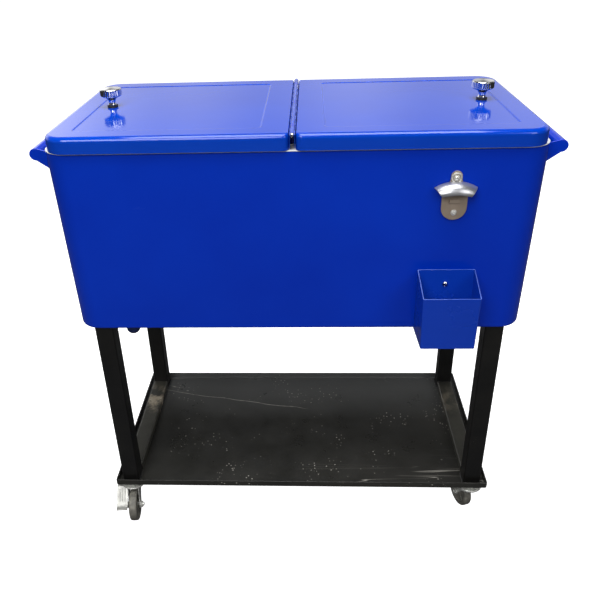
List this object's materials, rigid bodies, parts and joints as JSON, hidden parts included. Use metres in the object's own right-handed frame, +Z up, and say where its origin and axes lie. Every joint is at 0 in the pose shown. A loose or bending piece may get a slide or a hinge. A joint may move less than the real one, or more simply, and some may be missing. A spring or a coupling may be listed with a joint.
{
  "type": "cooler cart",
  "caption": "Rectangular insulated tub with hinged lids on a tubular stand with a lower tray, swivel casters, side handles, a wall-mounted bottle opener and a cap catcher.",
  "frame": {"origin": "on the floor, under the middle of the bounding box", "axes": "+X to the right along the tub, +Y from the front to the back, +Z up; the opener is on the front, at -Y"},
  "size_m": [0.8218, 0.4518, 0.8087],
  "materials": {
    "blue_paint": "glossy",
    "black_paint": "satin",
    "tray_paint": "satin, scratched",
    "foam": "rigid foam",
    "liner": "smooth",
    "trim": "satin",
    "zinc": "zinc plated",
    "chrome": "polished",
    "nickel": "brushed nickel",
    "tyre": "matt",
    "dark_rubber": "matt",
    "drain_plastic": "matt"
  },
  "bodies": {
    "cart": {"leg_front_left": "black_paint", "caster_mount_front_left": "zinc", "leg_front_right": "black_paint", "caster_mount_front_right": "zinc", "leg_rear_left": "black_paint", "caster_mount_rear_left": "zinc", "leg_rear_right": "black_paint", "caster_mount_rear_right": "zinc", "low_rail_left": "black_paint", "low_rail_right": "black_paint", "tray": "tray_paint", "tub_shell": "blue_paint", "foam_floor": "foam", "foam_front": "foam", "foam_back": "foam", "foam_left": "foam", "foam_right": "foam", "tub_liner": "liner", "rim_trim": "trim", "centre_beam": "blue_paint", "drain_spout": "drain_plastic", "hinge_rod": "chrome", "handle_tube_left": "blue_paint", "handle_tube_right": "blue_paint", "handle_plate_left_front": "blue_paint", "handle_plate_left_rear": "blue_paint", "handle_plate_right_front": "blue_paint", "handle_plate_right_rear": "blue_paint", "opener": "nickel", "opener_screw_top": "chrome", "opener_screw_low": "chrome", "cap_box_screw": "chrome", "cap_box": "blue_paint"},
    "lid_left": {"lid_shell_left": "blue_paint", "lid_foam_left": "foam", "lid_pan_left": "liner", "hinge_leaf_left": "blue_paint", "knob_washer_left": "dark_rubber", "knob_left": "chrome"},
    "lid_right": {"lid_shell_right": "blue_paint", "lid_foam_right": "foam", "lid_pan_right": "liner", "hinge_leaf_right": "blue_paint", "knob_washer_right": "dark_rubber", "knob_right": "chrome"},
    "drain_cap": {"drain_cap": "drain_plastic"},
    "swivel_front_left": {"caster_fork_front_left": "zinc", "caster_axle_front_left": "zinc"},
    "wheel_front_left": {"caster_wheel_front_left": "tyre"},
    "pedal_front_left": {"brake_pedal_front_left": "zinc"},
    "swivel_front_right": {"caster_fork_front_right": "zinc", "caster_axle_front_right": "zinc"},
    "wheel_front_right": {"caster_wheel_front_right": "tyre"},
    "pedal_front_right": {"brake_pedal_front_right": "zinc"},
    "swivel_rear_left": {"caster_fork_rear_left": "zinc", "caster_axle_rear_left": "zinc"},
    "wheel_rear_left": {"caster_wheel_rear_left": "tyre"},
    "swivel_rear_right": {"caster_fork_rear_right": "zinc", "caster_axle_rear_right": "zinc"},
    "wheel_rear_right": {"caster_wheel_rear_right": "tyre"}
  },
  "joints": [
    {"name": "lid_left_hinge", "type": "hinge", "parent": "cart", "child": "lid_left", "pos_m": [0, 0.01835, 0.776], "axis": [0, 1, 0], "range_deg": [0, 80]},
    {"name": "lid_right_hinge", "type": "hinge", "parent": "cart", "child": "lid_right", "pos_m": [0, 0.01835, 0.776], "axis": [0, -1, 0], "range_deg": [0, 80]},
    {"name": "drain_cap_pull", "type": "slide", "parent": "cart", "child": "drain_cap", "axis": [0, 0, -1], "range_m": [0, 0.03]},
    {"name": "swivel_front_left", "type": "hinge", "parent": "cart", "child": "swivel_front_left", "pos_m": [-0.3307, -0.13425, 0.0715], "axis": [0, 0, 1], "continuous": true},
    {"name": "roll_front_left", "type": "hinge", "parent": "swivel_front_left", "child": "wheel_front_left", "pos_m": [-0.32852, -0.15915, 0.031], "axis": [0.9962, 0.0872, 0], "continuous": true},
    {"name": "brake_front_left", "type": "hinge", "parent": "swivel_front_left", "child": "pedal_front_left", "pos_m": [-0.33, -0.14222, 0.066], "axis": [0.9962, 0.0872, 0], "range_deg": [-20, 0]},
    {"name": "swivel_front_right", "type": "hinge", "parent": "cart", "child": "swivel_front_right", "pos_m": [0.3307, -0.13425, 0.0715], "axis": [0, 0, 1], "continuous": true},
    {"name": "roll_front_right", "type": "hinge", "parent": "swivel_front_right", "child": "wheel_front_right", "pos_m": [0.32298, -0.11047, 0.031], "axis": [-0.9511, -0.309, 0], "continuous": true},
    {"name": "brake_front_right", "type": "hinge", "parent": "swivel_front_right", "child": "pedal_front_right", "pos_m": [0.32823, -0.12664, 0.066], "axis": [-0.9511, -0.309, 0], "range_deg": [-20, 0]},
    {"name": "swivel_rear_left", "type": "hinge", "parent": "cart", "child": "swivel_rear_left", "pos_m": [-0.3307, 0.17095, 0.0715], "axis": [0, 0, 1], "continuous": true},
    {"name": "roll_rear_left", "type": "hinge", "parent": "swivel_rear_left", "child": "wheel_rear_left", "pos_m": [-0.32133, 0.19413, 0.031], "axis": [-0.9272, 0.3746, 0], "continuous": true},
    {"name": "swivel_rear_right", "type": "hinge", "parent": "cart", "child": "swivel_rear_right", "pos_m": [0.3307, 0.17095, 0.0715], "axis": [0, 0, 1], "continuous": true},
    {"name": "roll_rear_right", "type": "hinge", "parent": "swivel_rear_right", "child": "wheel_rear_right", "pos_m": [0.32423, 0.1951, 0.031], "axis": [-0.9659, -0.2588, 0], "continuous": true}
  ]
}
